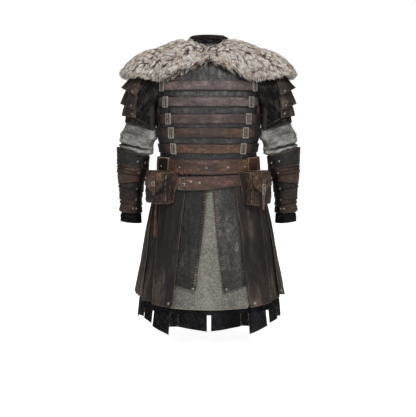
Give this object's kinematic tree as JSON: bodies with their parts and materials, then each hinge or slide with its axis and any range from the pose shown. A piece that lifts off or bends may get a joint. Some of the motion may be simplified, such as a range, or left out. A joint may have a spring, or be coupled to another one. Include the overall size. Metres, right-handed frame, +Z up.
{
  "type": "viking armour",
  "caption": "Worn leather jerkin armour seen from the back: fur mantle, layered shoulder lames, strapped back, bracers, two belts with pouches and a panelled skirt.",
  "frame": {"origin": "centre of the neck base, level with the top of the jerkin's shoulders, where the wearer's shoulders hold it", "axes": "+Z up, +Y to the wearer's front, +X to the wearer's right"},
  "size_m": [0.675, 0.4264, 1.0582],
  "materials": {
    "jerkin_leather": "worn black-brown, greyed on the high places",
    "panel_leather": "worn dark brown, brown cut edges",
    "strap_leather": "reddish dark brown, rubbed",
    "belt_leather": "warm brown, rubbed",
    "pouch_leather": "warm brown, creased",
    "lame_leather": "dark brown, waxed",
    "dark_cloth": "near-black matt cloth",
    "linen": "grey woven linen",
    "grey_cloth": "mottled grey coarse weave",
    "fur": "cream-grey shaggy fur",
    "buckle_metal": "dull aged"
  },
  "bodies": {
    "root": {"jerkin_back_left": "jerkin_leather", "jerkin_front_left": "jerkin_leather", "jerkin_back_right": "jerkin_leather", "jerkin_front_right": "jerkin_leather", "collar": "dark_cloth", "upper_sleeve_left": "dark_cloth", "linen_sleeve_left": "linen", "bracer_left": "lame_leather", "bracer_cuff_left": "lame_leather", "wrist_cuff_left": "dark_cloth", "upper_sleeve_right": "dark_cloth", "linen_sleeve_right": "linen", "bracer_right": "lame_leather", "bracer_cuff_right": "lame_leather", "wrist_cuff_right": "dark_cloth", "shoulder_lame_top_left": "lame_leather", "shoulder_lame_middle_left": "lame_leather", "shoulder_lame_lower_left": "lame_leather", "shoulder_lame_top_right": "lame_leather", "shoulder_lame_middle_right": "lame_leather", "shoulder_lame_lower_right": "lame_leather", "fur_mantle_left": "fur", "fur_mantle_right": "fur", "back_strap_1": "strap_leather", "back_strap_2": "strap_leather", "back_strap_3": "strap_leather", "back_strap_4": "strap_leather", "back_strap_5": "strap_leather", "main_belt": "belt_leather", "second_belt": "belt_leather", "main_buckle": "buckle_metal", "second_buckle": "buckle_metal", "belt_hanger": "belt_leather", "pouch_left": "pouch_leather", "pouch_flap_left": "pouch_leather", "pouch_strap_left": "strap_leather", "pouch_right": "pouch_leather", "pouch_flap_right": "pouch_leather", "pouch_strap_right": "strap_leather", "hanging_thong": "strap_leather", "grey_skirt": "grey_cloth", "underskirt_back": "dark_cloth", "underskirt_front": "dark_cloth", "skirt_back_short_left": "panel_leather", "skirt_back_wide_left": "panel_leather", "skirt_back_side_left": "panel_leather", "skirt_side_left": "panel_leather", "skirt_front_side_left": "panel_leather", "skirt_front_wide_left": "panel_leather", "skirt_front_inner_left": "panel_leather", "skirt_front_short_left": "panel_leather", "skirt_back_short_right": "panel_leather", "skirt_back_wide_right": "panel_leather", "skirt_back_side_right": "panel_leather", "skirt_side_right": "panel_leather", "skirt_front_side_right": "panel_leather", "skirt_front_wide_right": "panel_leather", "skirt_front_inner_right": "panel_leather", "skirt_front_short_right": "panel_leather"}
  },
  "joints": []
}
